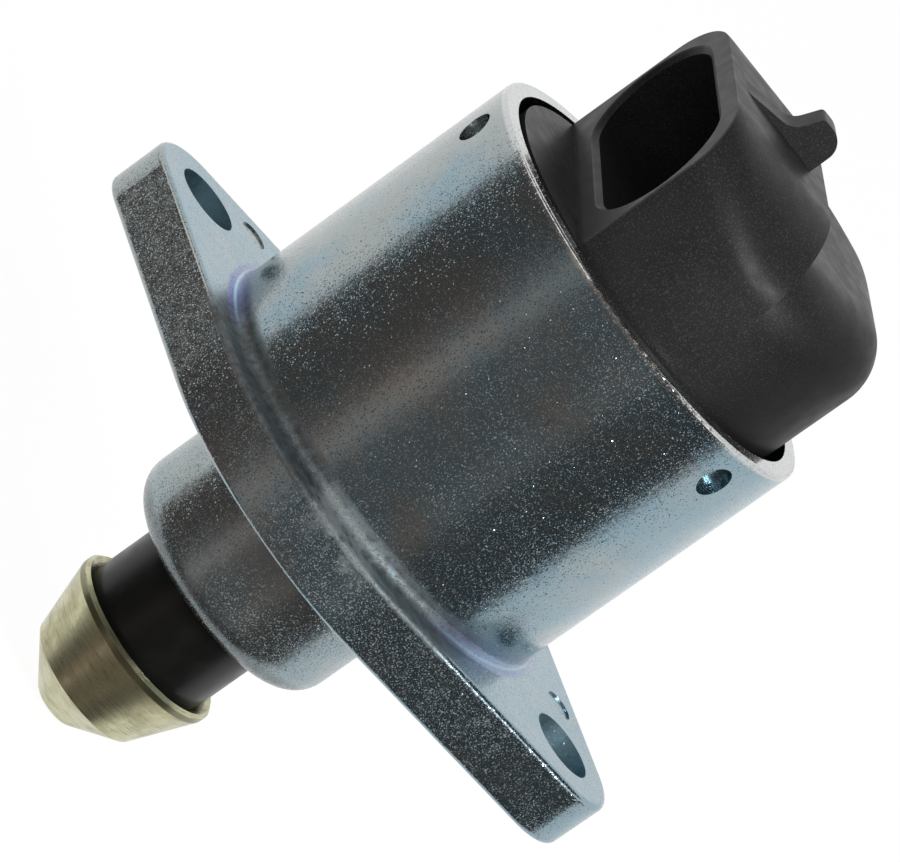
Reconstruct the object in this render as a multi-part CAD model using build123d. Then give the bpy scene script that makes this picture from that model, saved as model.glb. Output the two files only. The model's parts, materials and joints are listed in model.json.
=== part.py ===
from build123d import *
import os
from math import radians, sqrt, tan

# Idle air control valve: a can-stack stepper motor in a plated steel can drives a pintle along its axis.
# Origin: on the valve axis, in the plane of the flange's mounting face. Millimetres.
# +Z runs from the pintle towards the plug, and +X along the line of the two mounting holes.

# Flange and can, one steel piece
HOLE_SPACING = 50.0
HOLE_D = 5.8
EAR_R = 5.6
WAIST_LEDGE = 2.4
FLANGE_T = 5.2
FLANGE_EDGE_R = 0.5
CAN_D = 36.0
CAN_WALL = 1.45
CAN_H = 25.6
CAN_FOOT_R = 0.9
RIM_EDGE_R = 0.3
FLOOR_T = 4.6
COLLAR_H = 3.6
BOSS_D = 21.0
BOSS_L = 11.1
BOSS_NOSE_R = 2.6
BOSS_LIP_T = 1.5
CORE_BORE_D = 16.0

# Dents that stake the cap, and the punch mark beside each hole
STAKE_ANGLES = (-149.0, -26.0, 92.0)
STAKE_D = 2.6
STAKE_DROP = 3.0
STAKE_DEPTH = 0.9
STAKE_BULGE = 0.5
STAKE_TAPER = 8.0
MARK_D = 2.6
MARK_DEPTH = 0.15
MARK_INSET = 3.2
MARK_SIDE = 5.5

# Plunger, pintle and screw, in the rest position
PLUNGER_D = 13.1
PLUNGER_OUT = 6.4
PLUNGER_IN = 8.0
PLUNGER_SPIGOT_D = 10.0
PLUNGER_SPIGOT_L = 3.0
PLUNGER_EDGE = 0.4
PINTLE_D = 15.2
PINTLE_LAND = 0.8
PINTLE_REAR_CONE_L = 5.6
PINTLE_REAR_CONE_ANGLE = 19.0
PINTLE_FRONT_CONE_L = 3.3
PINTLE_FRONT_CONE_ANGLE = 48.5
PINTLE_TIP_R = 1.2
PINTLE_DISH = 0.6
SCREW_D = 5.0
SCREW_FLATS = 4.0
SCREW_NOSE_L = 5.5
SCREW_TAIL_SHORT = 4.5
SCREW_TAIL_EDGE = 0.6
SCREW_RETRACT = 6.0

# Guide parts stacked in the boss's bore
WIPER_T = 1.2
PLATE_T = 1.0
PLATE_RELIEF = 0.3

# Front ball bearing
BEARING_RISE = 0.6
BEARING_W = 4.0
BEARING_BORE_D = 9.0
BALL_D = 2.0
BALL_COUNT = 9
RACE_GAP = 1.2
CAGE_W = 1.3
CAGE_PLAY = 0.15

# Rotor
MAGNET_D = 17.6
MAGNET_BORE_D = 11.8
MAGNET_INSET = 0.6
HUB_SHOULDER_D = 11.2
HUB_SHOULDER_L = 0.8
HUB_COLLAR_L = 0.5
JOURNAL_D = 7.0
JOURNAL_EDGE = 0.5

# Stator, two equal halves
SHEET_T = 1.0
AIR_GAP = 0.35
CLAW_COUNT = 6
CLAW_ROOT_W = 4.2
CLAW_TIP_W = 2.4
CLAW_TIP_GAP = 0.6
BOBBIN_WALL = 0.5
BOBBIN_FLANGE_T = 0.8
WINDING_GAP = 0.4
BLOCK_WALL = 0.6

# Rear bush and its spring washer
BUSH_D = 11.0
BUSH_L = 4.0
BUSH_SEAT = 1.2
WASHER_T = 0.25
WASHER_RING = 1.3
SCREW_WELL_D = 6.4

# Connector cap. Its heights and drops are measured from the can's rim
PLUG_ANGLE = 28.0
CAP_GAP = 0.8
CAP_DEPTH = 8.6
CAP_SHOULDER_DROP = 1.9
DOME_H = 12.2
DOME_ROLL_R = 7.2
DOME_OVERHANG = 0.3
DOME_EDGE_R = 5.2
HOOD_H = 14.6
HOOD_ARC_R = 10.0
HOOD_OVERHANG = 1.05
HOOD_BLEND_R = 4.0
HOOD_BACK = 1.7
MOUTH_S = 9.6
SOCKET_FLOOR_H = 2.05
SOCKET_H = 10.6
SOCKET_WALL = 0.75
SOCKET_DEPTH = 10.2
SOCKET_LEAD = 0.45
SOCKET_LEAD_ANGLE = 45.0
SEAL_D = 1.6
SEAL_DROP = 6.0
SEAL_SQUEEZE = 0.05
STAKE_GROOVE_T = 0.8

# Latch lug on the hood, measured along the plug direction and up from the hood's top
LUG_W = 2.4
LUG_TOE = 8.0
LUG_RAMP_END = 3.6
LUG_RAMP_H = 0.8
LUG_NECK = 2.7
LUG_H = 3.2
LUG_HEEL = 0.1
LUG_NECK_R = 1.5
LUG_TOP_R = 0.35
LUG_NOSE_R = 1.6
LUG_ROOT = 0.5

# Terminals
PIN_COUNT = 4
PIN_PITCH = 4.5
BLADE_W = 2.3
BLADE_T = 0.8
BLADE_SETBACK = 6.2
BLADE_TIP_CHAMFER = 0.3
LEG_WALL = 0.5
LEG_SINK = 1.5
PIN_BEND_R = 0.4

# Clearances on radius or between faces
RUN = 0.05
SLIP = 0.15
LIP_CLEAR = 0.35

# Lengths closer than this count as equal when edges are picked
SAME = 0.001

# Heights that follow from the sizes above
RIM_Z = FLANGE_T + CAN_H
BORE_SEAT_Z = -BOSS_L + BOSS_LIP_T
BEARING_Z = FLOOR_T + BEARING_RISE
BEARING_TOP_Z = BEARING_Z + BEARING_W
PLATE_Z = BEARING_Z - PLATE_T
STACK_TOP_Z = RIM_Z - CAP_DEPTH
STACK_MID_Z = (FLOOR_T + STACK_TOP_Z) / 2
MAGNET_Z = BEARING_TOP_Z + HUB_SHOULDER_L
MAGNET_TOP_Z = STACK_TOP_Z - MAGNET_INSET
HUB_TOP_Z = MAGNET_TOP_Z + HUB_COLLAR_L
BUSH_Z = STACK_TOP_Z + BUSH_SEAT
BUSH_TOP_Z = BUSH_Z + BUSH_L
PINTLE_Z = -BOSS_L - PLUNGER_OUT
CONE_Z = PINTLE_Z - PINTLE_LAND
EDGE_Z = CONE_Z - PINTLE_REAR_CONE_L
TIP_Z = EDGE_Z - PINTLE_FRONT_CONE_L
SCREW_TAIL_Z = BUSH_TOP_Z - SCREW_TAIL_SHORT
BLADE_Z = RIM_Z + SOCKET_FLOOR_H + SOCKET_H / 2
SEAL_Z = RIM_Z - SEAL_DROP
STAKE_Z = RIM_Z - STAKE_DROP

# Radii that follow from the sizes above
CAN_R = CAN_D / 2
WAIST_R = CAN_R + WAIST_LEDGE
CHAMBER_R = CAN_R - CAN_WALL
BORE_R = CORE_BORE_D / 2
PLUNGER_R = PLUNGER_D / 2
SCREW_R = SCREW_D / 2
CLAW_R = MAGNET_D / 2 + AIR_GAP
COLLAR_R = CLAW_R - SLIP
BOBBIN_R = CLAW_R + SHEET_T + RUN
SLEEVE_R = BOBBIN_R + BOBBIN_WALL
STATOR_R = CHAMBER_R - SLIP
CUP_R = STATOR_R - SHEET_T
SPOOL_R = CUP_R - RUN
WINDING_R = SPOOL_R - WINDING_GAP
PITCH_R = (BEARING_BORE_D / 2 + BORE_R) / 2 + RUN
CAP_R = CHAMBER_R - CAP_GAP
SKIRT_R = CHAMBER_R - SLIP
SEAL_GROOVE_R = CHAMBER_R - SEAL_D

# Half widths across the plug
SOCKET_HALF_W = sqrt(CAP_R**2 - MOUTH_S**2) - SOCKET_WALL
PINS_HALF_W = (PIN_COUNT - 1) * PIN_PITCH / 2 + BLADE_W / 2


def ring(outer_r, inner_r, low_z, high_z):
    """A plain tube about the valve axis."""
    outline = Circle(outer_r) - Circle(inner_r)
    return Pos(0, 0, low_z) * extrude(outline, high_z - low_z)


def rod(radius, low_z, high_z):
    """A plain cylinder about the valve axis."""
    return Pos(0, 0, low_z) * extrude(Circle(radius), high_z - low_z)


def turned(*points):
    """A solid turned about the valve axis from (radius, height) corners."""
    return revolve(Plane.XZ * make_face(Polyline(*points, close=True)), Axis.Z)


def block(low_x, high_x, half_width, low_z, high_z):
    """A box centred on the plug's middle plane."""
    middle = Pos((low_x + high_x) / 2, 0, (low_z + high_z) / 2)
    return middle * Box(high_x - low_x, 2 * half_width, high_z - low_z)


def double_d(radius, flats):
    """The outline of a round with two flats, the flats facing +Y and -Y."""
    return Circle(radius) & Rectangle(2 * radius, flats)


def top_edges(solid, height):
    """The edges of a solid that lie in the level plane at a height."""
    return solid.edges().filter_by_position(Axis.Z, height - SAME, height + SAME)


def round_edges(solid, height, radius):
    """The circular edges of a solid at a height that have a given radius."""
    circles = top_edges(solid, height).filter_by(GeomType.CIRCLE)
    return [edge for edge in circles if abs(edge.radius - radius) < SAME]


def stake_places():
    """Frames on the can's axis at the stake height, each with its X axis pointing out at one stake."""
    for angle in STAKE_ANGLES:
        yield Pos(0, 0, STAKE_Z) * Rot(0, 0, angle)


def valve_body():
    """Flange, can and boss in one piece, with the motor chamber, the guide bore and the staking dents."""
    half = HOLE_SPACING / 2
    waist = Circle(WAIST_R)
    ears = [Pos(side * half, 0) * Circle(EAR_R) for side in (-1, 1)]
    outline = make_hull([waist.edge(), ears[0].edge(), ears[1].edge()])
    flange = extrude(outline, FLANGE_T)
    levels = flange.edges().group_by(Axis.Z)
    flange = fillet(levels[0] + levels[-1], FLANGE_EDGE_R)
    can = rod(CAN_R, FLANGE_T, RIM_Z)
    boss = rod(BOSS_D / 2, -BOSS_L, 0)
    boss = fillet(top_edges(boss, -BOSS_L), BOSS_NOSE_R)
    body = flange + can
    body = fillet(round_edges(body, FLANGE_T, CAN_R), CAN_FOOT_R) + boss
    body = body - rod(CHAMBER_R, FLOOR_T, RIM_Z)
    body = body + rod(COLLAR_R, FLOOR_T, FLOOR_T + COLLAR_H)
    body = body - rod(BORE_R, BORE_SEAT_Z, RIM_Z)
    body = body - rod(PLUNGER_R + LIP_CLEAR, -BOSS_L, BORE_SEAT_Z)
    for side in (-1, 1):
        body = body - Pos(side * half, 0, 0) * extrude(Circle(HOLE_D / 2), FLANGE_T)
        mark = Pos(side * (half - MARK_INSET), MARK_SIDE, FLANGE_T - MARK_DEPTH)
        body = body - mark * extrude(Circle(MARK_D / 2), MARK_DEPTH)
    body = fillet(round_edges(body, RIM_Z, CAN_R), RIM_EDGE_R)
    for place in stake_places():
        bulge = extrude(Circle(STAKE_D / 2), CAN_WALL + STAKE_BULGE - RUN)
        dent = extrude(Circle(STAKE_D / 2), STAKE_D, taper=-STAKE_TAPER)
        body = body + place * Pos(CHAMBER_R - STAKE_BULGE, 0, 0) * Rot(0, 90, 0) * bulge
        body = body - place * Pos(CAN_R - STAKE_DEPTH, 0, 0) * Rot(0, 90, 0) * dent
    return body


def plunger():
    """Sliding sleeve with a spigot for the pintle and a bore for the screw."""
    tail_z = -BOSS_L + PLUNGER_IN
    sleeve = rod(PLUNGER_R, PINTLE_Z - PINTLE_DISH, tail_z)
    sleeve = chamfer(top_edges(sleeve, tail_z), PLUNGER_EDGE)
    spigot_z = PINTLE_Z - PINTLE_DISH - PLUNGER_SPIGOT_L
    sleeve = sleeve + rod(PLUNGER_SPIGOT_D / 2, spigot_z, PINTLE_Z)
    return sleeve - Pos(0, 0, spigot_z) * extrude(double_d(SCREW_R, SCREW_FLATS), tail_z - spigot_z)


def pintle():
    """Two-angle cone with a narrow land and a dished rear face that takes the plunger's spigot."""
    rim_r = PINTLE_D / 2
    edge_r = rim_r - PINTLE_REAR_CONE_L * tan(radians(PINTLE_REAR_CONE_ANGLE))
    tip_r = edge_r - PINTLE_FRONT_CONE_L * tan(radians(PINTLE_FRONT_CONE_ANGLE))
    dish_z = PINTLE_Z - PINTLE_DISH
    cone = turned(
        (0, dish_z),
        (PLUNGER_R, dish_z),
        (rim_r - PINTLE_DISH / 2, PINTLE_Z),
        (rim_r, PINTLE_Z - PINTLE_DISH / 2),
        (rim_r, CONE_Z),
        (edge_r, EDGE_Z),
        (tip_r, TIP_Z),
        (0, TIP_Z),
    )
    cone = fillet(top_edges(cone, TIP_Z), PINTLE_TIP_R)
    cone = cone - rod(PLUNGER_SPIGOT_D / 2, dish_z - PLUNGER_SPIGOT_L, dish_z)
    screw_hole_z = dish_z - SCREW_NOSE_L
    return cone - Pos(0, 0, screw_hole_z) * extrude(double_d(SCREW_R, SCREW_FLATS), SCREW_NOSE_L)


def lead_screw():
    """Screw with two flats; its fine thread is left plain."""
    nose_z = PINTLE_Z - PINTLE_DISH - SCREW_NOSE_L
    screw = chamfer(top_edges(rod(SCREW_R, nose_z, SCREW_TAIL_Z), SCREW_TAIL_Z), SCREW_TAIL_EDGE)
    length = SCREW_TAIL_Z - nose_z
    return screw & Pos(0, 0, nose_z + length / 2) * Box(SCREW_D, SCREW_FLATS, length)


def wiper_seal():
    """Rubber ring behind the boss's lip, with its wiping edge at the front."""
    inner_r = PLUNGER_R + RUN
    return turned(
        (inner_r, BORE_SEAT_Z),
        (BORE_R, BORE_SEAT_Z),
        (BORE_R, BORE_SEAT_Z + WIPER_T),
        (inner_r + WIPER_T / 2, BORE_SEAT_Z + WIPER_T),
        (inner_r, BORE_SEAT_Z + WIPER_T / 2),
    )


def plunger_guide():
    """Guide bush that carries the plunger, between the wiper and the anti-rotation plate."""
    return ring(BORE_R, PLUNGER_R + RUN, BORE_SEAT_Z + WIPER_T, PLATE_Z)


def anti_rotation_plate():
    """Disc with a double-D hole for the screw, relieved under the bearing's inner race."""
    plate = rod(BORE_R, PLATE_Z, BEARING_Z)
    relief_r = PITCH_R + RACE_GAP / 2
    plate = plate - rod(relief_r, BEARING_Z - PLATE_RELIEF, BEARING_Z)
    hole = double_d(SCREW_R + RUN, SCREW_FLATS + 2 * RUN)
    return plate - Pos(0, 0, PLATE_Z) * extrude(hole, PLATE_T)


def ball_places():
    """Centres of the bearing's balls."""
    middle_z = BEARING_Z + BEARING_W / 2
    for index in range(BALL_COUNT):
        yield Rot(0, 0, index * 360 / BALL_COUNT) * Pos(PITCH_R, 0, middle_z)


def ball_track():
    """The ring-shaped space that the balls roll in."""
    middle_z = BEARING_Z + BEARING_W / 2
    return Pos(0, 0, middle_z) * Torus(PITCH_R, BALL_D / 2 + RUN)


def front_bearing_outer_race():
    return ring(BORE_R, PITCH_R + RACE_GAP / 2, BEARING_Z, BEARING_TOP_Z) - ball_track()


def front_bearing_inner_race():
    return ring(PITCH_R - RACE_GAP / 2, BEARING_BORE_D / 2, BEARING_Z, BEARING_TOP_Z) - ball_track()


def front_bearing_balls():
    return Compound(children=[place * Sphere(BALL_D / 2) for place in ball_places()])


def front_bearing_cage():
    """Crown cage: a ring above the balls' centres with a pocket round each ball."""
    middle_z = BEARING_Z + BEARING_W / 2
    half_w = RACE_GAP / 2 - CAGE_PLAY
    low_z = middle_z + CAGE_PLAY
    cage = ring(PITCH_R + half_w, PITCH_R - half_w, low_z, low_z + CAGE_W)
    for place in ball_places():
        cage = cage - place * Sphere(BALL_D / 2 + RUN)
    return cage


def rotor_hub():
    """Hub that carries the magnet, runs in the bearing and the bush, and holds the drive nut's bore."""
    hub = turned(
        (0, BEARING_Z),
        (BEARING_BORE_D / 2, BEARING_Z),
        (BEARING_BORE_D / 2, BEARING_TOP_Z),
        (HUB_SHOULDER_D / 2, BEARING_TOP_Z),
        (HUB_SHOULDER_D / 2, MAGNET_Z),
        (MAGNET_BORE_D / 2, MAGNET_Z),
        (MAGNET_BORE_D / 2, HUB_TOP_Z),
        (JOURNAL_D / 2, HUB_TOP_Z),
        (JOURNAL_D / 2, BUSH_TOP_Z),
        (0, BUSH_TOP_Z),
    )
    hub = chamfer(top_edges(hub, BUSH_TOP_Z), JOURNAL_EDGE)
    return hub - rod(SCREW_R + RUN, BEARING_Z, BUSH_TOP_Z)


def rotor_magnet():
    return ring(MAGNET_D / 2, MAGNET_BORE_D / 2, MAGNET_Z, MAGNET_TOP_Z)


def claw(root_z, tip_z):
    """One pole claw at the +X side, tapering from its root to its tip."""
    corners = [
        (-CLAW_ROOT_W / 2, root_z),
        (CLAW_ROOT_W / 2, root_z),
        (CLAW_TIP_W / 2, tip_z),
        (-CLAW_TIP_W / 2, tip_z),
    ]
    outline = make_face(Polyline(*corners, close=True))
    blade = extrude(Plane.YZ * outline, CLAW_R + 2 * SHEET_T)
    low_z = min(root_z, tip_z)
    high_z = max(root_z, tip_z)
    return blade & ring(CLAW_R + SHEET_T, CLAW_R, low_z, high_z)


def claws(root_z, tip_z, first_angle):
    """A ring of pole claws."""
    turns = [first_angle + index * 360 / CLAW_COUNT for index in range(CLAW_COUNT)]
    return [Rot(0, 0, turn) * claw(root_z, tip_z) for turn in turns]


def stator_cup(floor_z, mouth_z, first_angle):
    """Pressed cup: a wall, an end plate and the claws bent up from it."""
    up = 1 if mouth_z > floor_z else -1
    plate_z = floor_z + up * SHEET_T
    cup = ring(STATOR_R, CUP_R, min(floor_z, mouth_z), max(floor_z, mouth_z))
    cup = cup + ring(STATOR_R, CLAW_R, min(floor_z, plate_z), max(floor_z, plate_z))
    for each in claws(floor_z, mouth_z - up * (SHEET_T + CLAW_TIP_GAP), first_angle):
        cup = cup + each
    return cup


def pole_plate(face_z, far_z, first_angle):
    """Flat plate that closes a stator half, with claws that reach back between the cup's."""
    down = 1 if far_z > face_z else -1
    plate_z = face_z + down * SHEET_T
    plate = ring(CUP_R, CLAW_R, min(face_z, plate_z), max(face_z, plate_z))
    for each in claws(face_z, far_z - down * (SHEET_T + CLAW_TIP_GAP), first_angle):
        plate = plate + each
    return plate


def bobbin(low_z, high_z):
    """Spool for one winding."""
    spool = ring(SPOOL_R, BOBBIN_R, low_z, high_z)
    return spool - ring(SPOOL_R, SLEEVE_R, low_z + BOBBIN_FLANGE_T, high_z - BOBBIN_FLANGE_T)


def winding(low_z, high_z):
    return ring(WINDING_R, SLEEVE_R, low_z + BOBBIN_FLANGE_T, high_z - BOBBIN_FLANGE_T)


def terminal_block(grow):
    """Part of the rear bobbin that stands through the rear cup and holds the terminals' feet."""
    low_z = STACK_TOP_Z - SHEET_T
    arc = ring(WINDING_R + grow, BOBBIN_R + RUN - grow, low_z, STACK_TOP_Z)
    band = block(0, SPOOL_R, PINS_HALF_W + BLOCK_WALL + grow, low_z, STACK_TOP_Z)
    return arc & Rot(0, 0, PLUG_ANGLE) * band


def bend_edge(strip, x):
    """The upper crossways edge of a strip at a distance behind the axis."""
    across = strip.edges().filter_by(Axis.Y)
    return across.filter_by_position(Axis.X, x - SAME, x + SAME).sort_by(Axis.Z)[-1]


def terminal_pin(side):
    """Bent blade terminal, at a distance to one side of the plug's middle plane, its leg over the winding."""
    leg_x = sqrt((WINDING_R - LEG_WALL) ** 2 - (abs(side) + BLADE_W / 2) ** 2)
    tip_x = -MOUTH_S + BLADE_SETBACK
    foot_z = STACK_TOP_Z - LEG_SINK
    top_z = BLADE_Z + BLADE_T / 2
    outline = Polyline(
        (tip_x, top_z),
        (leg_x, top_z),
        (leg_x, foot_z),
        (leg_x - BLADE_T, foot_z),
        (leg_x - BLADE_T, top_z - BLADE_T),
        (tip_x, top_z - BLADE_T),
        close=True,
    )
    strip = extrude(Plane.XZ * make_face(outline), BLADE_W / 2, both=True)
    strip = fillet(bend_edge(strip, leg_x), PIN_BEND_R + BLADE_T)
    strip = fillet(bend_edge(strip, leg_x - BLADE_T), PIN_BEND_R)
    tip = strip.faces().sort_by(Axis.X)[0]
    strip = chamfer(tip.edges(), BLADE_TIP_CHAMFER)
    return Rot(0, 0, PLUG_ANGLE) * Pos(0, side, 0) * strip


def pin_sides():
    """Distances of the terminals from the plug's middle plane."""
    return [(index - (PIN_COUNT - 1) / 2) * PIN_PITCH for index in range(PIN_COUNT)]


def latch_lug():
    """Hooked lug on the hood's top, drawn in the plug's middle plane and rooted a little way in."""
    top_z = RIM_Z + HOOD_H
    root_z = top_z - LUG_ROOT
    corners = [
        (-LUG_TOE, root_z),
        (-LUG_TOE, top_z),
        (-LUG_RAMP_END, top_z + LUG_RAMP_H),
        (-LUG_NECK, top_z + LUG_H),
        (-LUG_HEEL, top_z + LUG_H),
        (-LUG_HEEL, root_z),
    ]
    radii = [0, 0, LUG_NECK_R, LUG_TOP_R, LUG_NOSE_R, 0]
    outline = make_face(FilletPolyline(*corners, radius=radii, close=True))
    return extrude(Plane.XZ * outline, LUG_W / 2, both=True)


def wall_borders(solid):
    """The upper border edges of a solid's round side wall, which has the cap's radius."""
    borders = []
    for edge in solid.edges():
        points = [edge @ 0, edge @ 0.5, edge @ 1]
        on_wall = all(abs(sqrt(p.X**2 + p.Y**2) - CAP_R) < SAME for p in points)
        level_with_rim = abs(points[1].Z - RIM_Z) < SAME
        upright = edge.geom_type == GeomType.LINE
        if on_wall and not level_with_rim and not upright:
            borders.append(edge)
    return borders


def cap_skirt():
    """Round base of the cap: the skirt in the can, with its grooves, and the collar up to the rim."""
    shoulder_z = RIM_Z - CAP_SHOULDER_DROP
    skirt = rod(SKIRT_R, STACK_TOP_Z, shoulder_z) + rod(CAP_R, shoulder_z, RIM_Z)
    seal_half = SEAL_D / 2 + RUN
    skirt = skirt - ring(SKIRT_R, SEAL_GROOVE_R, SEAL_Z - seal_half, SEAL_Z + seal_half)
    stake_low = STAKE_Z - STAKE_D / 2 - SLIP
    return skirt - ring(SKIRT_R, SKIRT_R - STAKE_GROOVE_T, stake_low, shoulder_z)


def cap_dome():
    """Back of the cap: flat on top, rolled down towards the back and rounded along its wall."""
    top_z = RIM_Z + DOME_H
    reach = CAP_R + DOME_OVERHANG
    back = block(0, reach, reach, RIM_Z, top_z)
    rolled = back.edges().filter_by(Axis.Y).group_by(Axis.Z)[-1].sort_by(Axis.X)[-1]
    dome = fillet(rolled, DOME_ROLL_R) & rod(CAP_R, RIM_Z, top_z)
    return fillet(wall_borders(dome), DOME_EDGE_R)


def cap_hood():
    """Plug hood: an arched prism along the plug direction, rounded along its wall, with a flat mouth."""
    top_z = RIM_Z + HOOD_H
    half_width = CAP_R + HOOD_OVERHANG
    arch = block(-CAP_R, HOOD_BACK, half_width, RIM_Z, top_z)
    arch = fillet(arch.edges().filter_by(Axis.X).group_by(Axis.Z)[-1], HOOD_ARC_R)
    hood = arch & rod(CAP_R, RIM_Z, top_z)
    hood = fillet(wall_borders(hood), HOOD_BLEND_R)
    return hood - block(-2 * CAP_R, -MOUTH_S, half_width, RIM_Z, top_z)


def plug_socket():
    """The space for the plug, with a lead-in at the mouth."""
    mouth = Plane(origin=(-MOUTH_S, 0, BLADE_Z), x_dir=(0, 1, 0), z_dir=(1, 0, 0))
    opening = SlotOverall(2 * SOCKET_HALF_W, SOCKET_H)
    flared = SlotOverall(2 * (SOCKET_HALF_W + SOCKET_LEAD), SOCKET_H + 2 * SOCKET_LEAD)
    lead = extrude(mouth * flared, SOCKET_LEAD, taper=SOCKET_LEAD_ANGLE)
    return extrude(mouth * opening, SOCKET_DEPTH) + lead


def connector_cap():
    """Moulded cap: a skirt in the can, a domed back and the plug's hood with its socket and latch lug."""
    cap = cap_skirt() + cap_dome() + cap_hood() - plug_socket() + latch_lug()
    cap = Rot(0, 0, PLUG_ANGLE) * cap
    cap = cap - rod(BUSH_D / 2, STACK_TOP_Z, BUSH_TOP_Z)
    well_top = SCREW_TAIL_Z + SCREW_RETRACT + LIP_CLEAR
    cap = cap - rod(SCREW_WELL_D / 2, BUSH_TOP_Z, well_top)
    for side in pin_sides():
        cap = cap - terminal_pin(side)
    return cap


def cap_seal_ring():
    radius = SEAL_D / 2 - SEAL_SQUEEZE / 2
    return Pos(0, 0, SEAL_Z) * Torus(CHAMBER_R - SEAL_D / 2, radius)


def rear_bush():
    return ring(BUSH_D / 2, JOURNAL_D / 2 + RUN, BUSH_Z, BUSH_TOP_Z)


def preload_washer():
    """Dished spring washer between the hub's collar and the bush."""
    outer_r = BUSH_D / 2 - SLIP
    inner_r = outer_r - WASHER_RING
    return turned(
        (outer_r, BUSH_Z),
        (inner_r, HUB_TOP_Z + RUN + WASHER_T),
        (inner_r, HUB_TOP_Z + RUN),
        (outer_r, BUSH_Z - WASHER_T),
    )


def pieces():
    """Every node's name with its solid."""
    half_pole = 180 / CLAW_COUNT
    phase = half_pole / 2
    front_low = FLOOR_T + SHEET_T
    front_high = STACK_MID_Z - SHEET_T
    rear_low = STACK_MID_Z + SHEET_T
    rear_high = STACK_TOP_Z - SHEET_T
    pins = [terminal_pin(side) for side in pin_sides()]
    rear_spool = bobbin(rear_low, rear_high) + terminal_block(0)
    rear_cup = stator_cup(STACK_TOP_Z, STACK_MID_Z, phase) - terminal_block(RUN)
    for pin in pins:
        rear_spool = rear_spool - pin
    nodes = {
        "valve_body": valve_body(),
        "connector_cap": connector_cap(),
        "cap_seal_ring": cap_seal_ring(),
        "plunger": plunger(),
        "pintle": pintle(),
        "lead_screw": lead_screw(),
        "wiper_seal": wiper_seal(),
        "plunger_guide": plunger_guide(),
        "anti_rotation_plate": anti_rotation_plate(),
        "front_bearing_outer_race": front_bearing_outer_race(),
        "front_bearing_inner_race": front_bearing_inner_race(),
        "front_bearing_balls": front_bearing_balls(),
        "front_bearing_cage": front_bearing_cage(),
        "rotor_hub": rotor_hub(),
        "rotor_magnet": rotor_magnet(),
        "front_stator_cup": stator_cup(FLOOR_T, STACK_MID_Z, 0),
        "front_pole_plate": pole_plate(STACK_MID_Z, FLOOR_T, half_pole),
        "front_bobbin": bobbin(front_low, front_high),
        "front_winding": winding(front_low, front_high),
        "rear_pole_plate": pole_plate(STACK_MID_Z, STACK_TOP_Z, half_pole + phase),
        "rear_stator_cup": rear_cup,
        "rear_bobbin": rear_spool,
        "rear_winding": winding(rear_low, rear_high),
        "rear_bush": rear_bush(),
        "preload_washer": preload_washer(),
    }
    for index, pin in enumerate(pins, start=1):
        nodes[f"terminal_pin_{index}"] = pin
    return nodes


os.makedirs("parts", exist_ok=True)
for name, solid in pieces().items():
    export_step(solid, f"parts/{name}.step")
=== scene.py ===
"""Looks and studio of the idle air control valve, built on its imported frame. Metres, as in the frame."""

import json
import math

import bmesh
import bpy
from mathutils import Matrix, Vector


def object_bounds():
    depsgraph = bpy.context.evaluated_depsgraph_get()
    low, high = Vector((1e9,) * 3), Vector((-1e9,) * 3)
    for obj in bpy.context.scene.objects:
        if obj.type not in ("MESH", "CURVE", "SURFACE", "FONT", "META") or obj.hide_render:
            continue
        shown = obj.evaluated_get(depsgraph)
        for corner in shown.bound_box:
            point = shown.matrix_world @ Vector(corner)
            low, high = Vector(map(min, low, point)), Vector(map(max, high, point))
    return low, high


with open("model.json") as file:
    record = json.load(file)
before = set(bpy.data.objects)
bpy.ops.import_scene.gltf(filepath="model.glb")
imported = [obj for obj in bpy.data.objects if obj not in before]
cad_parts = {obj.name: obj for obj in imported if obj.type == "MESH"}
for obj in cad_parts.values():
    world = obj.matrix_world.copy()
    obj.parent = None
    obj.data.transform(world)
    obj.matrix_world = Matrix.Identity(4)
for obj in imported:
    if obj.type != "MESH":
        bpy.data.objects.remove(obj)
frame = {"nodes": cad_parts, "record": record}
cad_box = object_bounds()

MM = 0.001

# Places that the finishes follow: X runs across the two holes and Z along the valve's axis. Two values are
# where a place starts and is full, and four are where it starts, is full, starts to end and has ended.
FLANGE_TOP = 5.2 * MM
CAN_R = 18.0 * MM
RIM_Z = 30.8 * MM
NOSE_Z = -9.2 * MM
HOLE_OFFSET = 25.0 * MM
HOLE_R = 2.9 * MM
ON_EDGE_Z = (0.1 * MM, 0.5 * MM, FLANGE_TOP - 0.5 * MM, FLANGE_TOP - 0.1 * MM)
ABOVE_EDGE_Z = (FLANGE_TOP - 0.2 * MM, FLANGE_TOP)
ON_FACE_Z = (FLANGE_TOP + 0.8 * MM, FLANGE_TOP + 0.3 * MM)
ON_BOSS_Z = (0.1 * MM, -0.3 * MM)
ON_NOSE_Z = (NOSE_Z + 0.5 * MM, NOSE_Z - 0.5 * MM)
ON_RIM_Z = (RIM_Z - 0.6 * MM, RIM_Z - 0.3 * MM)
IN_HOLE_R = (HOLE_R + 0.15 * MM, HOLE_R + 0.02 * MM)
WAIST_X = (17.5 * MM, 14.5 * MM)
WAIST_Z = (FLANGE_TOP - 0.7 * MM, FLANGE_TOP - 0.4 * MM, FLANGE_TOP + 1.0 * MM, FLANGE_TOP + 2.0 * MM)
SCUFF_X = (0.5 * MM, 2.5 * MM, 7 * MM, 10 * MM)
SCUFF_Z = (2.7 * MM, 4.2 * MM, 6.0 * MM, 7.0 * MM)
LEFT_POOL_X = (-12 * MM, -16.5 * MM)
RIGHT_POOL_X = (12 * MM, 16.5 * MM)
POOL_Z = (FLANGE_TOP + 2.8 * MM, FLANGE_TOP)
POOL_R = (CAN_R + 1.2 * MM, CAN_R + 0.48 * MM)
LINE_Z = (FLANGE_TOP + 0.9 * MM, FLANGE_TOP + 0.6 * MM)
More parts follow.
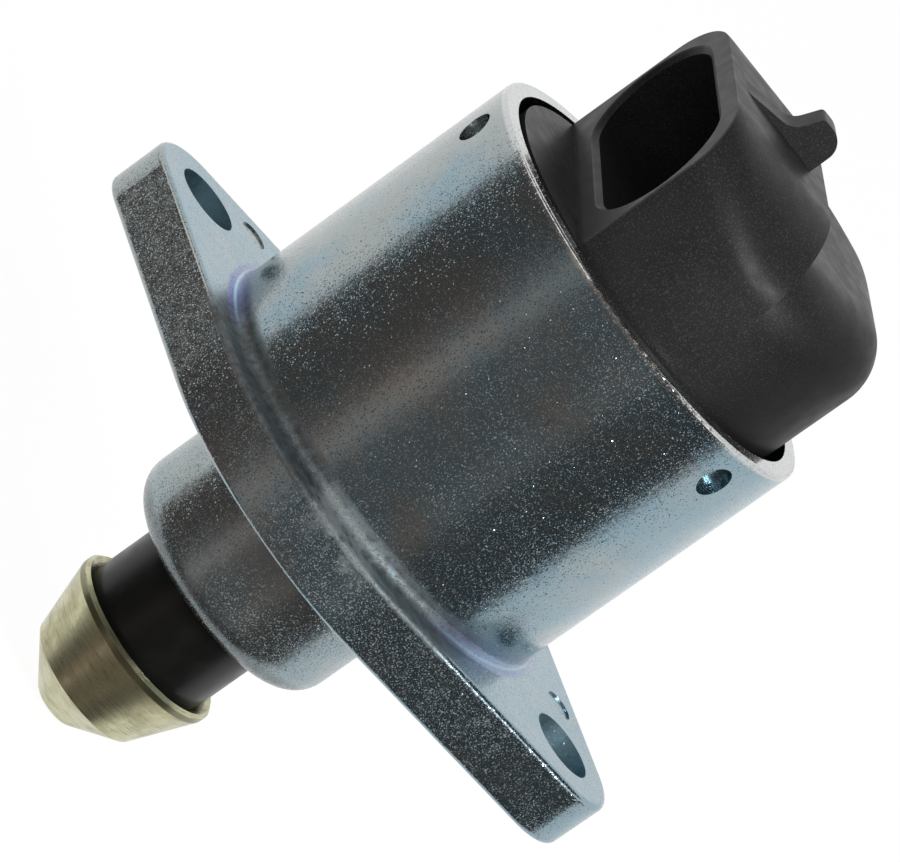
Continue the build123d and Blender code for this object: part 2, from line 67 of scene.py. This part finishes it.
LINE_R = (CAN_R + 0.15 * MM, CAN_R + 0.25 * MM, CAN_R + 0.32 * MM, CAN_R + 0.42 * MM)
LEAN_X = (-3 * MM, -9 * MM)
SHADED_SIDE_X = (9 * MM, 15 * MM)
PLUG_TURN = math.radians(28)
PLUG_HEADING = (-math.cos(PLUG_TURN), -math.sin(PLUG_TURN), 0)
MOUTH_S = (9.45 * MM, 9.55 * MM)
LIP_Z = (31.0 * MM, 31.4 * MM)
# The pintle's land, where a dark reflection is painted
PINTLE_LAND_Z = (-18.40 * MM, -18.25 * MM, -17.85 * MM, -17.75 * MM)

# Tints of the zinc, from plain to where it pooled
ZINC_PLAIN = (0.340, 0.378, 0.377, 1)
ZINC_BLUE = (0.250, 0.368, 0.430, 1)
ZINC_PALE = (0.40, 0.435, 0.445, 1)
ZINC_STAIN = (0.25, 0.29, 0.31, 1)
ZINC_SPECK = (0.42, 0.42, 0.41, 1)
ZINC_VIOLET = (0.12, 0.14, 0.40, 1)
ZINC_CYAN = (0.36, 0.60, 0.66, 1)
# Painted shade: the dark tone laid into the crease round the can's foot and on the boss's nose
ZINC_PAINTED_SHADE = (0.11, 0.115, 0.115, 1)
# Painted highlight: paler zinc along the can's rim
ZINC_RIM_HIGHLIGHT = (0.56, 0.58, 0.58, 1)
ZINC_TEAL = (0.27, 0.40, 0.46, 1)

# Noises of the zinc, and the part of each noise, from 0 to 1, over which its finish comes in
ZINC_CLOUDS = {"size": 7 * MM, "detail": 5, "roughness": 0.6}
ZINC_STREAKS = {"size": 2.2 * MM, "detail": 4, "roughness": 0.6}
ZINC_STAINS = {"size": 2.5 * MM, "detail": 4, "roughness": 0.65}
ZINC_MOTTLES = {"size": 0.9 * MM, "detail": 5, "roughness": 0.7}
ZINC_GRAIN = {"size": 0.12 * MM, "detail": 2}
ZINC_DENTS = {"size": 1.6 * MM, "detail": 4, "roughness": 0.55}
ZINC_SKIN = {"size": 0.14 * MM, "detail": 2}
STREAK_SQUEEZE = (0.5, 0.5, 1.3)
BLUE_RANGE = (0.33, 0.66)
STREAK_RANGE = (0.45, 0.75)
STAIN_RANGE = (0.55, 0.75)
GRAIN_RANGE = (0.52, 0.70)
FROST_RANGE = (0.46, 0.70)
# The part of the mottles over which the painted shade comes in
PAINTED_SHADE_RANGE = (0.35, 0.65)
SCUFF_RANGE = (0.42, 0.58)
MATT_RANGE = (0.30, 0.70)

# How much of each finish the zinc shows where it is full
BLUE_PER_METRE = 7.0
BLUE_ON_FACE = 0.40
BLUE_ON_BOSS = 0.6
STREAK_SHARE = 0.35
STAIN_SHARE = 0.35
GRAIN_SHARE = 0.6
FROST_SHARE = 0.4
SCUFF_HIGHLIGHT_SHARE = 0.55
# Shares of painted shade in the waist's crease and on the boss's nose
WAIST_PAINTED_SHADE = (0.95, 0.6)
NOSE_PAINTED_SHADE = (0.75, 0.55)
LEFT_POOL_SHARE = 0.75
RIGHT_POOL_SHARE = 0.4

# Roughness of the zinc between its grains and on them, what places add to it, and its small forms
ZINC_ROUGHNESS = 0.15
GRAIN_ROUGHNESS = (0.17, 0.36)
COARSE_GRAIN = 0.7
FROST_ROUGHNESS = 0.12
BOSS_ROUGHNESS = 0.06
WAIST_ROUGHNESS = 0.40
SCUFF_ROUGHNESS = 0.20
HOLE_ROUGHNESS = 0.42
DENT_DEPTH = 0.025 * MM
SKIN_DEPTH = 0.004 * MM
FACET_SIZE = 0.08 * MM
FACET_TILT = 0.42
FACET_RARITY = 7.0
EDGE_LEAN = 0.085

# Moulded plastic
PLASTIC_CLOUDS = {"size": 4 * MM, "detail": 4}
PLASTIC_SPECKS = {"size": 0.13 * MM, "detail": 2}
PLASTIC_GLOSS = {"size": 1.5 * MM, "detail": 3}
PLASTIC_GRAIN = {"size": 0.15 * MM, "detail": 3}
PLASTIC_CLOUD_RANGE = (0.35, 0.65)
PLASTIC_SPECK_RANGE = (0.50, 0.72)
PLASTIC_SPECK_SHARE = 0.55
PLASTIC_DARK = 0.85
PLASTIC_SPREAD = (-0.04, 0.05)
# Painted shade: the cap is darker towards +X, and its gloss is lower there
SIDE_SHADE_SHARE = 0.85
SHADED_SIDE_GLEAM = 0.4
LIP_SHARE = 0.6

# Turned and pressed metal, and wire. A wave texture of scale 1 turns by its rate, in radians per unit.
TURNED_CLOUDS = {"size": 2.0 * MM, "detail": 4, "roughness": 0.6}
TURNED_RINGS = {"size": 0.12 * MM, "detail": 3, "roughness": 0.6}
RING_SQUEEZE = (0.06, 0.06, 1)
RING_RANGE = (0.50, 0.72)
TURNED_CLOUD_RANGE = (0.35, 0.7)
TURNED_SPREAD = (-0.04, 0.06)
# How much of the stain's light is kept in the turned rings and in the painted dark reflection band
STAIN_DARKENING = 0.35
DARK_REFLECTION_SHARE = 0.8
PRESSED_STAINS = {"size": 1.8 * MM, "detail": 5, "roughness": 0.6}
PRESSED_GRAIN = {"size": 0.3 * MM, "detail": 3}
PRESSED_SQUEEZE = (1, 0.15, 1)
PRESSED_STAIN_RANGE = (0.4, 0.75)
PRESSED_SPREAD = (-0.05, 0.08)
PRESSED_DEPTH = 0.003 * MM
GLOSS_RANGE = (0.3, 0.7)
WIRE_CLOUDS = {"size": 1.5 * MM, "detail": 3}
WIRE_CLOUD_RANGE = (0.35, 0.7)
WIRE_TONES = ((0.62, 0.22, 0.09, 1), (0.46, 0.14, 0.05, 1))
WIRE_GAP_TONE = (0.12, 0.03, 0.01, 1)
WIRE_GAP_RANGE = (0.3, 0.0)
WIRE_GAP_SHARE = 0.6
WIRE_ROUGHNESS = (0.26, 0.36)
WIRE_DEPTH = 0.05 * MM
WIRE_PITCH = 0.36 * MM
WAVE_RATE = 20.0

# Camera of the photograph: the lens is for the width of the image
CAMERA_PLACE = Vector((62.33, -384.57, 109.78)) * MM
CAMERA_TARGET = Vector((0.51, 0.08, 11.21)) * MM
CAMERA_ROLL = math.radians(54.63)
CAMERA_LENS = 212.54
CAMERA_SENSOR = 36.0
CAMERA_CLIP = 0.01

# Studio: a white table behind the object, seen from above, and a dim warm room in front of it, whose tones
# are given by their angle from the camera's bearing
WHITE = (1.0, 1.0, 1.0, 1.0)
TABLE_EDGE = (-0.045, -0.165)
ROOM_STOPS = (
    (-88, (0.095, 0.088, 0.085, 1)),
    (-50, (0.098, 0.088, 0.085, 1)),
    (-36, (0.170, 0.142, 0.132, 1)),
    (-24, (0.470, 0.395, 0.360, 1)),
    (-12, (0.160, 0.140, 0.133, 1)),
    (18, (0.142, 0.126, 0.120, 1)),
    (35, (0.215, 0.180, 0.164, 1)),
    (46, (0.085, 0.078, 0.075, 1)),
    (88, (0.068, 0.062, 0.060, 1)),
)
ROOM_HALF_TURN = 90
STRIP_TONE = (1.3, 1.27, 1.23, 1)
STRIP_Z = (0.22, 0.33, 0.48, 0.58)
KEY_DIRECTION = Vector((0.66, -0.62, 0.42))
KEY_DISTANCE = 0.6
KEY_SIZE = 0.24
KEY_POWER = 3.0
FLOOR_R = 0.9
FLOOR_SEGMENTS = 96
FLOOR_GAP = 0.2 * MM
FLOOR_GLOW = 0.94
FLOOR_SHADOW_TONE = (0.09, 0.09, 0.09, 1)
FLOOR_TONE = (0.8, 0.8, 0.8, 1)

# Sockets of a mix node for colours, which share their names with those for numbers
MIX_A, MIX_B, MIX_RESULT = 6, 7, 2


class Nodes:
    """A node tree that is built node by node."""

    def __init__(self, tree):
        self.tree = tree

    def feed(self, socket, value):
        """Links an output to a socket, or sets the socket to a plain value."""
        if isinstance(value, bpy.types.NodeSocket):
            self.tree.links.new(value, socket)
        else:
            socket.default_value = value

    def add(self, kind, inputs=(), **settings):
        """A new node with its settings, and its inputs by name or number."""
        node = self.tree.nodes.new(kind)
        for key, value in settings.items():
            setattr(node, key, value)
        for key, value in dict(inputs).items():
            self.feed(node.inputs[key], value)
        return node

    def math(self, operation, a, b=0.0):
        return self.add("ShaderNodeMath", {0: a, 1: b}, operation=operation).outputs[0]

    def times(self, a, b):
        return self.math("MULTIPLY", a, b)

    def plus(self, a, b):
        return self.math("ADD", a, b)

    def vector(self, operation, a, b=(0, 0, 0)):
        node = self.add("ShaderNodeVectorMath", {0: a, 1: b}, operation=operation)
        scalar = operation in ("LENGTH", "DOT_PRODUCT")
        return node.outputs["Value" if scalar else "Vector"]

    def scaled(self, vector, factor):
        inputs = {0: vector, "Scale": factor}
        return self.add("ShaderNodeVectorMath", inputs, operation="SCALE").outputs["Vector"]

    def fade(self, value, start, end, low=0.0, high=1.0):
        """Runs smoothly from low to high as a value goes from start to end."""
        inputs = {"Value": value, "From Min": start, "From Max": end, "To Min": low, "To Max": high}
        return self.add("ShaderNodeMapRange", inputs, interpolation_type="SMOOTHSTEP").outputs["Result"]

    def band(self, value, start, full, falls, end):
        """Rises from 0 to 1 between the first two values, and falls back to 0 between the last two."""
        return self.times(self.fade(value, start, full), self.fade(value, end, falls))

    def mix(self, share, a, b):
        """Colour a, with a share of colour b mixed in."""
        inputs = {"Factor": share, MIX_A: a, MIX_B: b}
        return self.add("ShaderNodeMix", inputs, data_type="RGBA").outputs[MIX_RESULT]


class Finish(Nodes):
    """A procedural material on the principled shader, in the object's own coordinates."""

    def __init__(self, name, metallic=0.0, gleam=0.5):
        self.material = bpy.data.materials.new(name)
        self.material.use_nodes = True
        super().__init__(self.material.node_tree)
        self.shader = self.tree.nodes["Principled BSDF"]
        self.place = self.add("ShaderNodeTexCoord").outputs["Object"]
        self.set("Metallic", metallic)
        self.set("Specular IOR Level", gleam)

    def set(self, socket, value):
        self.feed(self.shader.inputs[socket], value)

    def noise(self, size, detail=3.0, roughness=0.5, squeeze=None):
        """Cloudy noise from 0 to 1, with patches of about a given size. Along an axis that is squeezed by
        less than 1 they are longer."""
        place = self.squeezed(*squeeze) if squeeze else self.place
        inputs = {"Vector": place, "Scale": 1 / size, "Detail": detail, "Roughness": roughness}
        return self.add("ShaderNodeTexNoise", inputs).outputs["Fac"]

    def cells(self, size):
        """A random colour for every cell of about a given size."""
        return self.add("ShaderNodeTexVoronoi", {"Vector": self.place, "Scale": 1 / size}).outputs["Color"]

    def squeezed(self, x, y, z):
        """The place, multiplied along each axis."""
        return self.vector("MULTIPLY", self.place, (x, y, z))

    def along(self, axis):
        """The place along one axis, by its letter."""
        return self.add("ShaderNodeSeparateXYZ", {0: self.place}).outputs[axis]

    def radius(self):
        """Distance from the valve's axis."""
        return self.vector("LENGTH", self.squeezed(1, 1, 0))

    def bump(self, height, depth, normal=None):
        """A bumped normal whose highest and lowest points differ by a depth."""
        node = self.add("ShaderNodeBump", {"Height": height, "Distance": depth, "Strength": 1.0})
        if normal:
            self.feed(node.inputs["Normal"], normal)
        return node.outputs["Normal"]

    def facets(self, size, tilt, rarity, lean):
        """A normal that every small crystal tilts its own way, most of them only a little, on a surface
        that leans by an amount towards +X."""
        turn_by, rise_by, tilt_by = self.add("ShaderNodeSeparateColor", {0: self.cells(size)}).outputs
        turn = self.times(turn_by, 2 * math.pi)
        rise = self.math("SUBTRACT", rise_by, 0.5)
        parts = {"X": self.math("COSINE", turn), "Y": self.math("SINE", turn), "Z": rise}
        heading = self.add("ShaderNodeCombineXYZ", parts).outputs[0]
        push = self.scaled(self.scaled(heading, self.math("POWER", tilt_by, rarity)), tilt)
        straight = self.add("ShaderNodeNewGeometry").outputs["Normal"]
        leaning = self.vector("ADD", straight, self.add("ShaderNodeCombineXYZ", {"X": lean}).outputs[0])
        return self.vector("NORMALIZE", self.vector("ADD", leaning, push))


def darker(tone, share):
    """A share of a colour's light."""
    return tuple(share * part for part in tone[:3]) + (1,)


def from_holes(zinc):
    """Distance from the axis of the nearer flange hole."""
    offset = zinc.vector("SUBTRACT", zinc.vector("ABSOLUTE", zinc.place), (HOLE_OFFSET, 0, 0))
    return zinc.vector("LENGTH", zinc.vector("MULTIPLY", offset, (1, 1, 0)))


def zinc_pools(zinc, across, height, radius, above_edge):
    """Where the zinc's colours pooled at both sides of the can's foot: a wide tint, and a thin line in it."""
    left = zinc.fade(across, *LEFT_POOL_X, high=LEFT_POOL_SHARE)
    right = zinc.fade(across, *RIGHT_POOL_X, high=RIGHT_POOL_SHARE)
    pooled = zinc.times(zinc.math("MAXIMUM", left, right), above_edge)
    tint = zinc.times(zinc.fade(height, *POOL_Z), zinc.fade(radius, *POOL_R))
    line = zinc.times(zinc.fade(height, *LINE_Z), zinc.band(radius, *LINE_R))
    return zinc.times(tint, pooled), zinc.times(line, pooled)


def zinc_plating():
    """Bright zinc on steel: fine crystal sparkle, cloudy tints, blue in the can's foot and the holes."""
    zinc = Finish("zinc_plating", metallic=1.0)
    clouds = zinc.noise(**ZINC_CLOUDS)
    streaks = zinc.noise(**ZINC_STREAKS, squeeze=STREAK_SQUEEZE)
    stains = zinc.noise(**ZINC_STAINS)
    mottles = zinc.noise(**ZINC_MOTTLES)
    grain = zinc.fade(zinc.noise(**ZINC_GRAIN), *GRAIN_RANGE)
    across = zinc.along("X")
    height = zinc.along("Z")

    # Where on the body: the flange's cut edge and upper face, the boss and its nose, the waist and the can
    on_edge = zinc.band(height, *ON_EDGE_Z)
    above_edge = zinc.fade(height, *ABOVE_EDGE_Z)
    on_face = zinc.times(above_edge, zinc.fade(height, *ON_FACE_Z))
    on_boss = zinc.fade(height, *ON_BOSS_Z)
    on_nose = zinc.fade(height, *ON_NOSE_Z)
    on_rim = zinc.fade(height, *ON_RIM_Z)
    in_hole = zinc.fade(from_holes(zinc), *IN_HOLE_R)
    on_waist = zinc.times(zinc.fade(zinc.math("ABSOLUTE", across), *WAIST_X), zinc.band(height, *WAIST_Z))
    # Scuffs, partly rougher wear and partly a painted highlight: their paler zinc stands in for the foot's
    # dull highlight
    scuff_and_highlight = zinc.times(zinc.band(across, *SCUFF_X), zinc.band(height, *SCUFF_Z))
    scuff_and_highlight = zinc.times(scuff_and_highlight, zinc.fade(stains, *SCUFF_RANGE))
    frosted = zinc.times(zinc.fade(mottles, *FROST_RANGE), on_edge)
    in_tint, in_line = zinc_pools(zinc, across, height, zinc.radius(), above_edge)

    tinted = zinc.plus(clouds, zinc.times(across, BLUE_PER_METRE))
    tinted = zinc.plus(tinted, zinc.times(on_face, BLUE_ON_FACE))
    bluish = zinc.times(zinc.fade(tinted, *BLUE_RANGE), zinc.fade(on_boss, 0, 1, 1.0, BLUE_ON_BOSS))
    layers = (
        (bluish, ZINC_BLUE),
        (zinc.fade(streaks, *STREAK_RANGE, high=STREAK_SHARE), ZINC_PALE),
        (zinc.fade(stains, *STAIN_RANGE, high=STAIN_SHARE), ZINC_STAIN),
        (zinc.times(grain, GRAIN_SHARE), ZINC_SPECK),
        (zinc.times(frosted, FROST_SHARE), ZINC_PALE),
        # Painted shade darkens the waist's crease at the can's foot
        (zinc.times(on_waist, zinc.fade(mottles, *PAINTED_SHADE_RANGE, *WAIST_PAINTED_SHADE)), ZINC_PAINTED_SHADE),
        # Paler scuffs, which also paint the foot's dull highlight
        (zinc.times(scuff_and_highlight, SCUFF_HIGHLIGHT_SHARE), ZINC_PALE),
        # Painted shade darkens the boss's nose
        (zinc.times(on_nose, zinc.fade(mottles, *PAINTED_SHADE_RANGE, *NOSE_PAINTED_SHADE)), ZINC_PAINTED_SHADE),
        (in_tint, ZINC_VIOLET),
        (in_line, ZINC_CYAN),
        # Painted highlight: the can's rim is paler, to brighten its highlight line
        (on_rim, ZINC_RIM_HIGHLIGHT),
        (in_hole, ZINC_TEAL),
    )
    colour = ZINC_PLAIN
    for share, tone in layers:
        colour = zinc.mix(share, colour, tone)
    zinc.set("Base Color", colour)

    matt = zinc.fade(clouds, *MATT_RANGE, *GRAIN_ROUGHNESS)
    coarse = zinc.plus(zinc.times(zinc.plus(on_edge, on_boss), COARSE_GRAIN), 1.0)
    roughness = zinc.plus(zinc.times(zinc.times(grain, matt), coarse), ZINC_ROUGHNESS)
    rough_places = (
        (frosted, FROST_ROUGHNESS),
        (on_boss, BOSS_ROUGHNESS),
        (on_waist, WAIST_ROUGHNESS),
        (scuff_and_highlight, SCUFF_ROUGHNESS),
    )
    for place, extra in rough_places:
        roughness = zinc.plus(roughness, zinc.times(place, extra))
    zinc.set("Roughness", zinc.math("MAXIMUM", roughness, zinc.times(in_hole, HOLE_ROUGHNESS)))

    lean = zinc.times(on_edge, zinc.fade(across, *LEAN_X, high=EDGE_LEAN))
    sparkle = zinc.facets(FACET_SIZE, FACET_TILT, FACET_RARITY, lean)
    dented = zinc.bump(zinc.noise(**ZINC_DENTS), DENT_DEPTH, sparkle)
    zinc.set("Normal", zinc.bump(zinc.noise(**ZINC_SKIN), SKIN_DEPTH, dented))
    return zinc.material


def moulded_plastic(name, tone, roughness, speck_tone, gleam=0.5, depth=0.006 * MM, side_shade=None):
    """Moulded plastic: a fine eroded grain, lighter specks, and cloudy changes in its gloss. With a
    side_shade tone it is the cap's: painted shade darkens it towards +X, where its gloss is lower too, and it
    is lighter at the lip of the plug's mouth."""
    plastic = Finish(name, gleam=gleam)
    clouds = plastic.fade(plastic.noise(**PLASTIC_CLOUDS), *PLASTIC_CLOUD_RANGE)
    specks = plastic.fade(plastic.noise(**PLASTIC_SPECKS), *PLASTIC_SPECK_RANGE, high=PLASTIC_SPECK_SHARE)
    colour = plastic.mix(clouds, darker(tone, PLASTIC_DARK), tone)
    colour = plastic.mix(specks, colour, speck_tone)
    if side_shade:
        across = plastic.along("X")
        # Painted shade: a darker tone towards +X, and lower gloss there
        colour = plastic.mix(plastic.fade(across, *SHADED_SIDE_X, high=SIDE_SHADE_SHARE), colour, side_shade)
        plastic.set("Specular IOR Level", plastic.fade(across, *SHADED_SIDE_X, gleam, SHADED_SIDE_GLEAM * gleam))
        out_of_plug = plastic.vector("DOT_PRODUCT", plastic.place, PLUG_HEADING)
        on_lip = plastic.times(plastic.fade(out_of_plug, *MOUTH_S), plastic.fade(plastic.along("Z"), *LIP_Z))
        colour = plastic.mix(plastic.times(on_lip, LIP_SHARE), colour, speck_tone)
    plastic.set("Base Color", colour)
    spread = [roughness + step for step in PLASTIC_SPREAD]
    plastic.set("Roughness", plastic.fade(plastic.noise(**PLASTIC_GLOSS), *GLOSS_RANGE, *spread))
    plastic.set("Normal", plastic.bump(plastic.noise(**PLASTIC_GRAIN), depth))
    return plastic.material


def turned_metal(name, tone, stain, roughness, depth=0.002 * MM, ring_share=0.25, dark_reflection_band=None):
    """Metal turned on a lathe: fine broken rings round the valve's axis, and a cloudy stain. It may have a
    band of painted dark reflection between heights."""
    metal = Finish(name, metallic=1.0)
    clouds = metal.noise(**TURNED_CLOUDS)
    rings = metal.noise(**TURNED_RINGS, squeeze=RING_SQUEEZE)
    darkened_stain = darker(stain, STAIN_DARKENING)
    colour = metal.mix(metal.fade(clouds, *TURNED_CLOUD_RANGE), tone, stain)
    colour = metal.mix(metal.fade(rings, *RING_RANGE, high=ring_share), colour, darkened_stain)
    # Painted reflection: a dark band where the metal mirrors the dark plunger
    if dark_reflection_band:
        in_band = metal.band(metal.along("Z"), *dark_reflection_band)
        colour = metal.mix(metal.times(in_band, DARK_REFLECTION_SHARE), colour, darkened_stain)
    metal.set("Base Color", colour)
    spread = [roughness + step for step in TURNED_SPREAD]
    metal.set("Roughness", metal.fade(clouds, *GLOSS_RANGE, *spread))
    metal.set("Normal", metal.bump(rings, depth))
    return metal.material


def pressed_metal(name, tone, stain, roughness):
    """Sheet or ground metal: brushed grain, faint stains and uneven gloss."""
    metal = Finish(name, metallic=1.0)
    stains = metal.noise(**PRESSED_STAINS)
    brushed = metal.noise(**PRESSED_GRAIN, squeeze=PRESSED_SQUEEZE)
    metal.set("Base Color", metal.mix(metal.fade(stains, *PRESSED_STAIN_RANGE), tone, stain))
    spread = [roughness + step for step in PRESSED_SPREAD]
    metal.set("Roughness", metal.fade(brushed, *GLOSS_RANGE, *spread))
    metal.set("Normal", metal.bump(brushed, PRESSED_DEPTH))
    return metal.material


def wound_copper():
    """Enamelled copper wire: the turns lie side by side in layers."""
    wire = Finish("wound_copper", metallic=1.0)
    waves = {"Vector": wire.place, "Scale": 2 * math.pi / (WAVE_RATE * WIRE_PITCH)}
    turns = wire.add("ShaderNodeTexWave", waves, bands_direction="Z").outputs["Fac"]
    clouds = wire.noise(**WIRE_CLOUDS)
    colour = wire.mix(wire.fade(clouds, *WIRE_CLOUD_RANGE), *WIRE_TONES)
    gaps = wire.fade(turns, *WIRE_GAP_RANGE, high=WIRE_GAP_SHARE)
    wire.set("Base Color", wire.mix(gaps, colour, WIRE_GAP_TONE))
    wire.set("Roughness", wire.fade(clouds, *GLOSS_RANGE, *WIRE_ROUGHNESS))
    wire.set("Normal", wire.bump(turns, WIRE_DEPTH))
    return wire.material


def finishes():
    """The finish of every CAD node, by the record's material slot. After each name come its tone, and its
    roughness and the tone of its specks if it is plastic, or the tone of its stain and its roughness."""
    return {
        "plated_steel": zinc_plating(),
        # The cap's last tone is painted shade, towards +X
        "cap_plastic": moulded_plastic(
            "cap_plastic", (0.019, 0.0192, 0.0195, 1), 0.40, (0.062, 0.063, 0.064, 1), gleam=0.12,
            depth=0.010 * MM, side_shade=(0.008, 0.008, 0.008, 1)),
        "plunger_plastic": moulded_plastic(
            "plunger_plastic", (0.0035, 0.0038, 0.0035, 1), 0.32, (0.006, 0.006, 0.006, 1), gleam=0.3,
            depth=0.001 * MM),
        # The pintle's dark band is a painted reflection
        "pintle_metal": turned_metal(
            "pintle_metal", (0.56, 0.545, 0.36, 1), (0.42, 0.40, 0.24, 1), 0.28, depth=0.004 * MM,
            ring_share=0.6, dark_reflection_band=PINTLE_LAND_Z),
        "screw_steel": turned_metal(
            "screw_steel", (0.42, 0.42, 0.43, 1), (0.30, 0.30, 0.31, 1), 0.28),
        "seal_rubber": moulded_plastic(
            "seal_rubber", (0.014, 0.014, 0.014, 1), 0.62, (0.03, 0.03, 0.03, 1)),
        "guide_plastic": moulded_plastic(
            "guide_plastic", (0.52, 0.47, 0.36, 1), 0.42, (0.62, 0.58, 0.47, 1)),
        "bearing_steel": pressed_metal(
            "bearing_steel", (0.58, 0.58, 0.57, 1), (0.47, 0.46, 0.44, 1), 0.16),
        "hub_plastic": moulded_plastic(
            "hub_plastic", (0.10, 0.095, 0.085, 1), 0.45, (0.18, 0.17, 0.16, 1)),
        "magnet": pressed_metal(
            "magnet", (0.085, 0.083, 0.085, 1), (0.055, 0.053, 0.052, 1), 0.52),
        "stator_steel": pressed_metal(
            "stator_steel", (0.40, 0.40, 0.39, 1), (0.28, 0.27, 0.25, 1), 0.34),
        "bobbin_plastic": moulded_plastic(
            "bobbin_plastic", (0.20, 0.16, 0.10, 1), 0.45, (0.28, 0.23, 0.16, 1)),
        "copper_wire": wound_copper(),
        "bush_bronze": turned_metal(
            "bush_bronze", (0.50, 0.33, 0.16, 1), (0.36, 0.22, 0.10, 1), 0.38),
        "terminal_metal": pressed_metal(
            "terminal_metal", (0.66, 0.65, 0.62, 1), (0.50, 0.49, 0.46, 1), 0.24),
    }


def dress_nodes():
    """Gives every CAD node the finish of its slot in the record."""
    by_slot = finishes()
    for part in frame["record"]["subparts"]:
        slots = frame["nodes"][part["node"]].data.materials
        slots.clear()
        slots.append(by_slot[part["material_slot"]])


def light_room(towards_camera):
    """World: white where the table is, dim and warm in front of it with a bright strip above the camera, and
    plain white to the camera."""
    world = bpy.data.worlds.new("studio")
    bpy.context.scene.world = world
    world.use_nodes = True
    nodes = Nodes(world.node_tree)
    direction = nodes.add("ShaderNodeTexCoord").outputs["Generated"]
    bearing = math.atan2(towards_camera.y, towards_camera.x)
    level = nodes.add(
        "ShaderNodeVectorRotate", {"Vector": direction, "Angle": -bearing}, rotation_type="Z_AXIS")
    parts = nodes.add("ShaderNodeSeparateXYZ", {0: level.outputs[0]}).outputs
    half_turn = math.radians(ROOM_HALF_TURN)
    turn = nodes.math("ARCTAN2", parts["Y"], parts["X"])
    inputs = {"Value": turn, "From Min": -half_turn, "From Max": half_turn}
    across = nodes.add("ShaderNodeMapRange", inputs).outputs["Result"]
    room = nodes.add("ShaderNodeValToRGB", {"Fac": across})
    stops = room.color_ramp.elements
    while len(stops) < len(ROOM_STOPS):
        stops.new(0.5)
    for stop, (angle, colour) in zip(stops, ROOM_STOPS):
        stop.position = (angle + ROOM_HALF_TURN) / (2 * ROOM_HALF_TURN)
        stop.color = colour
    in_front = nodes.mix(nodes.band(parts["Z"], *STRIP_Z), room.outputs["Color"], STRIP_TONE)
    on_table = nodes.fade(nodes.vector("DOT_PRODUCT", direction, towards_camera), *TABLE_EDGE)
    surroundings = nodes.mix(on_table, in_front, WHITE)
    to_camera = nodes.add("ShaderNodeLightPath").outputs["Is Camera Ray"]
    background = world.node_tree.nodes["Background"]
    nodes.feed(background.inputs["Color"], nodes.mix(to_camera, surroundings, WHITE))


def add_key():
    """Softbox in front of the object, beside the plug's hood."""
    data = bpy.data.lights.new("key", "AREA")
    data.shape = "DISK"
    data.size = KEY_SIZE
    data.energy = KEY_POWER
    lamp = bpy.data.objects.new("key", data)
    bpy.context.scene.collection.objects.link(lamp)
    lamp.location = CAMERA_TARGET + KEY_DISTANCE * KEY_DIRECTION.normalized()
    lamp.rotation_euler = (-KEY_DIRECTION).to_track_quat("-Z", "Y").to_euler()


def floor_material():
    """Pale to the object, and to the camera white apart from a faint shadow."""
    material = bpy.data.materials.new("floor")
    material.use_nodes = True
    nodes = Nodes(material.node_tree)
    nodes.tree.nodes.remove(nodes.tree.nodes["Principled BSDF"])
    glow = nodes.add("ShaderNodeEmission", {"Color": WHITE, "Strength": FLOOR_GLOW}).outputs[0]
    shaded = nodes.add("ShaderNodeBsdfDiffuse", {"Color": FLOOR_SHADOW_TONE}).outputs[0]
    seen = nodes.add("ShaderNodeAddShader", {0: glow, 1: shaded}).outputs[0]
    plain = nodes.add("ShaderNodeBsdfDiffuse", {"Color": FLOOR_TONE}).outputs[0]
    to_camera = nodes.add("ShaderNodeLightPath").outputs["Is Camera Ray"]
    surface = nodes.add("ShaderNodeMixShader", {"Fac": to_camera, 1: plain, 2: seen}).outputs[0]
    nodes.feed(nodes.tree.nodes["Material Output"].inputs["Surface"], surface)
    return material


def add_floor():
    """Pale round floor a little under the object."""
    mesh = bpy.data.meshes.new("floor")
    disc = bmesh.new()
    bmesh.ops.create_circle(disc, cap_ends=True, segments=FLOOR_SEGMENTS, radius=FLOOR_R)
    disc.to_mesh(mesh)
    disc.free()
    mesh.materials.append(floor_material())
    floor = bpy.data.objects.new("floor", mesh)
    bpy.context.scene.collection.objects.link(floor)
    floor.location = (0, 0, cad_box[0][2] - FLOOR_GAP)
    floor.visible_glossy = False


def add_camera():
    """The photograph's camera. Returns the direction from the object towards it."""
    data = bpy.data.cameras.new("camera")
    data.lens = CAMERA_LENS
    data.sensor_width = CAMERA_SENSOR
    data.sensor_fit = "HORIZONTAL"
    data.clip_start = CAMERA_CLIP
    camera = bpy.data.objects.new("camera", data)
    bpy.context.scene.collection.objects.link(camera)
    aim = (CAMERA_TARGET - CAMERA_PLACE).to_track_quat("-Z", "Y").to_matrix().to_4x4()
    camera.matrix_world = Matrix.Translation(CAMERA_PLACE) @ aim @ Matrix.Rotation(CAMERA_ROLL, 4, "Z")
    bpy.context.scene.camera = camera
    return (CAMERA_PLACE - CAMERA_TARGET).normalized()


dress_nodes()
light_room(add_camera())
add_key()
add_floor()
bpy.context.scene.view_settings.view_transform = "Standard"
